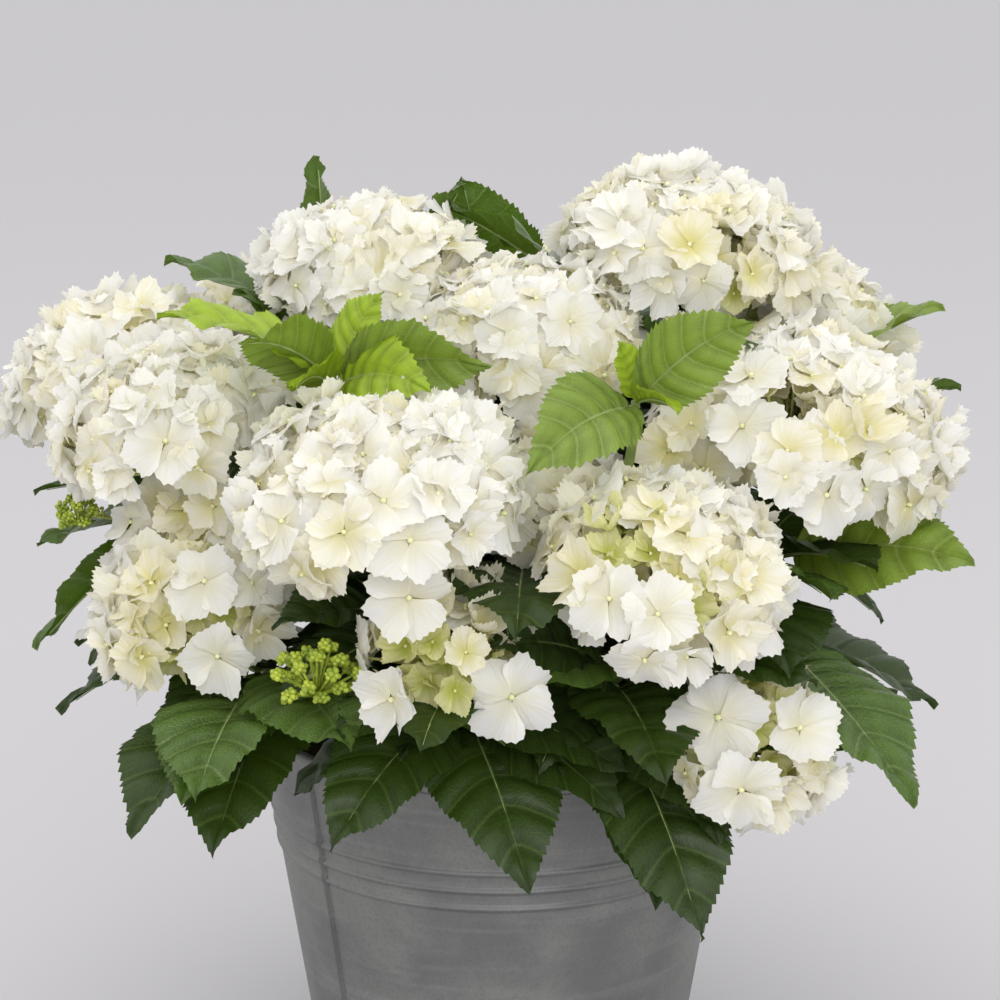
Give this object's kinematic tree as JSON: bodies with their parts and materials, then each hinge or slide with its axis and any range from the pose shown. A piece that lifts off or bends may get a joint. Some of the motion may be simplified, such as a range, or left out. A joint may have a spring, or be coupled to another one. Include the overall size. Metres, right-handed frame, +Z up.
{
  "type": "hydrangea shrub",
  "caption": "Hydrangea shrub with white flower heads and serrated leaves on woody canes, in a round ribbed zinc bucket.",
  "frame": {"origin": "centre of the bucket's flat underside", "axes": "+Z up along the bucket's axis, -Y towards the viewer of the picture, +X to that viewer's right"},
  "size_m": [0.5284, 0.4833, 0.5373],
  "materials": {
    "zinc": "dull galvanised zinc, mottled",
    "compost": "damp crumbly compost, matt",
    "bark": "pale brown fissured bark, matt",
    "leaf": "veined leaf, soft gloss",
    "petal": "soft matt sepals, white to cream and lime"
  },
  "bodies": {
    "root": {"pot": "zinc", "compost": "compost", "cane_front": "bark", "cane_front_right": "bark", "cane_right": "bark", "cane_back_right": "bark", "cane_back": "bark", "cane_left_back": "bark", "cane_left": "bark", "cane_middle_left": "bark", "cane_middle_right": "bark", "bough_low_centre": "bark", "bough_low_right": "bark", "bough_left_low": "bark", "bough_middle": "bark", "bough_shaded": "bark", "bough_back_right": "bark", "bough_back_left": "bark", "bough_low_back_left": "bark", "bough_low_back_right": "bark", "bough_young_left": "bark", "bough_young_right": "bark", "bloom_centre_front": "petal", "bloom_front_right": "petal", "bloom_right": "petal", "bloom_right_rear": "petal", "bloom_back": "petal", "bloom_left_rear": "petal", "bloom_left_mid": "petal", "bloom_top_left": "petal", "bloom_top_right": "petal", "bloom_low_centre": "petal", "bloom_low_right": "petal", "bloom_left_low": "petal", "bloom_middle": "petal", "bloom_shaded": "petal", "bloom_back_right": "petal", "bloom_back_left": "petal", "bloom_low_back_left": "petal", "bloom_low_back_right": "petal", "shoot_centre_front": "leaf", "shoot_front_right": "leaf", "shoot_right": "leaf", "shoot_right_rear": "leaf", "shoot_back": "leaf", "shoot_left_rear": "leaf", "shoot_left_mid": "leaf", "shoot_top_left": "leaf", "shoot_top_right": "leaf", "shoot_low_centre": "leaf", "shoot_low_right": "leaf", "shoot_left_low": "leaf", "shoot_middle": "leaf", "shoot_shaded": "leaf", "shoot_back_right": "leaf", "shoot_back_left": "leaf", "shoot_low_back_left": "leaf", "shoot_low_back_right": "leaf", "shoot_young_left": "leaf", "shoot_young_right": "leaf"}
  },
  "joints": []
}
